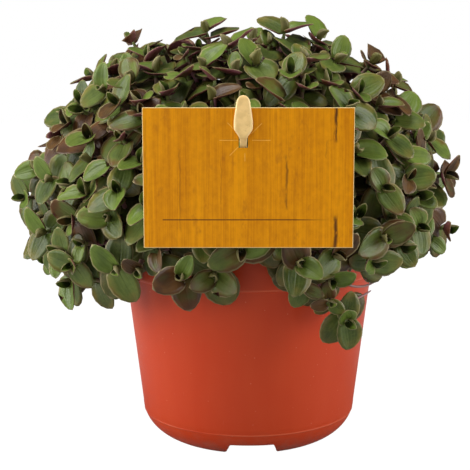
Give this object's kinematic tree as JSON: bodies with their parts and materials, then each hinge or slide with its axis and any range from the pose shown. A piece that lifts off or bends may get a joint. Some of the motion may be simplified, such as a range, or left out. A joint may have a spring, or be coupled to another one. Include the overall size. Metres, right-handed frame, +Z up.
{
  "type": "turtle vine in pot",
  "caption": "Dome of trailing fleshy leaves growing from the soil of a round tapered nursery pot, with a plain card held in front on a stake.",
  "frame": {"origin": "middle of the whole box at the floor, within a few millimetres of the pot's axis", "axes": "+Z up, +X to the right seen from the card's side, the card faces -Y"},
  "size_m": [0.2128, 0.1964, 0.195],
  "materials": {
    "pot": "moulded, soft sheen",
    "soil": "loose and rough",
    "card": "satin print with a wood grain",
    "stake": "cream, satin",
    "foliage": "fleshy leaf, waxy sheen"
  },
  "bodies": {
    "root": {"pot": "pot", "soil": "soil", "tag_card": "card", "tag_stake": "stake", "vine_01": "foliage", "vine_02": "foliage", "vine_03": "foliage", "vine_04": "foliage", "vine_05": "foliage", "vine_06": "foliage", "vine_07": "foliage", "vine_08": "foliage", "vine_09": "foliage", "vine_10": "foliage", "vine_11": "foliage", "vine_12": "foliage", "vine_13": "foliage", "vine_14": "foliage", "vine_15": "foliage", "vine_16": "foliage", "vine_17": "foliage", "vine_18": "foliage", "vine_19": "foliage", "vine_20": "foliage", "vine_21": "foliage", "vine_22": "foliage", "vine_23": "foliage", "vine_24": "foliage", "vine_25": "foliage", "vine_26": "foliage", "vine_27": "foliage", "vine_28": "foliage", "vine_29": "foliage", "vine_30": "foliage"}
  },
  "joints": []
}
